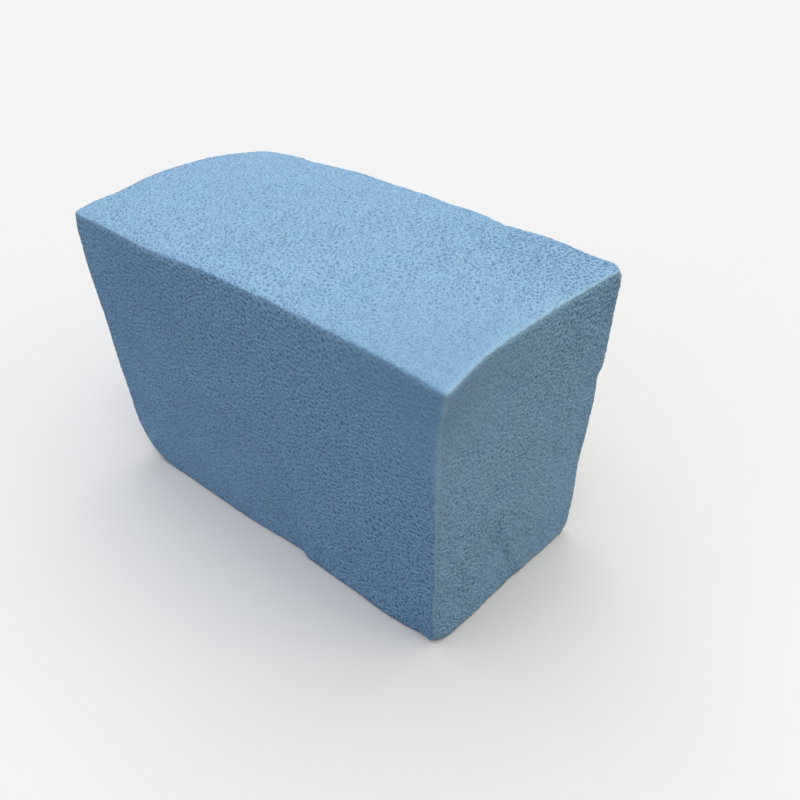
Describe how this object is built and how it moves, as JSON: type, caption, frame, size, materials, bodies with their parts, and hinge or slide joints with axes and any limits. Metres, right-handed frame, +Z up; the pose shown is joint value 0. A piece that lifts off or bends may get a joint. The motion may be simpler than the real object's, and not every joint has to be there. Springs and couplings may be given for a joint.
{
  "type": "floral foam brick",
  "caption": "Small rectangular block of fine open-cell foam with a gently domed top and soft edges, standing on its long narrow side; it holds cut flower stems.",
  "frame": {"origin": "middle of the base, on the surface that the brick rests on", "axes": "+Z up, +X along the brick's length, +Y across its width, from the front face to the back face"},
  "size_m": [0.081, 0.042, 0.0568],
  "materials": {
    "foam": "matte"
  },
  "bodies": {
    "root": {"foam_brick": "foam"}
  },
  "joints": []
}
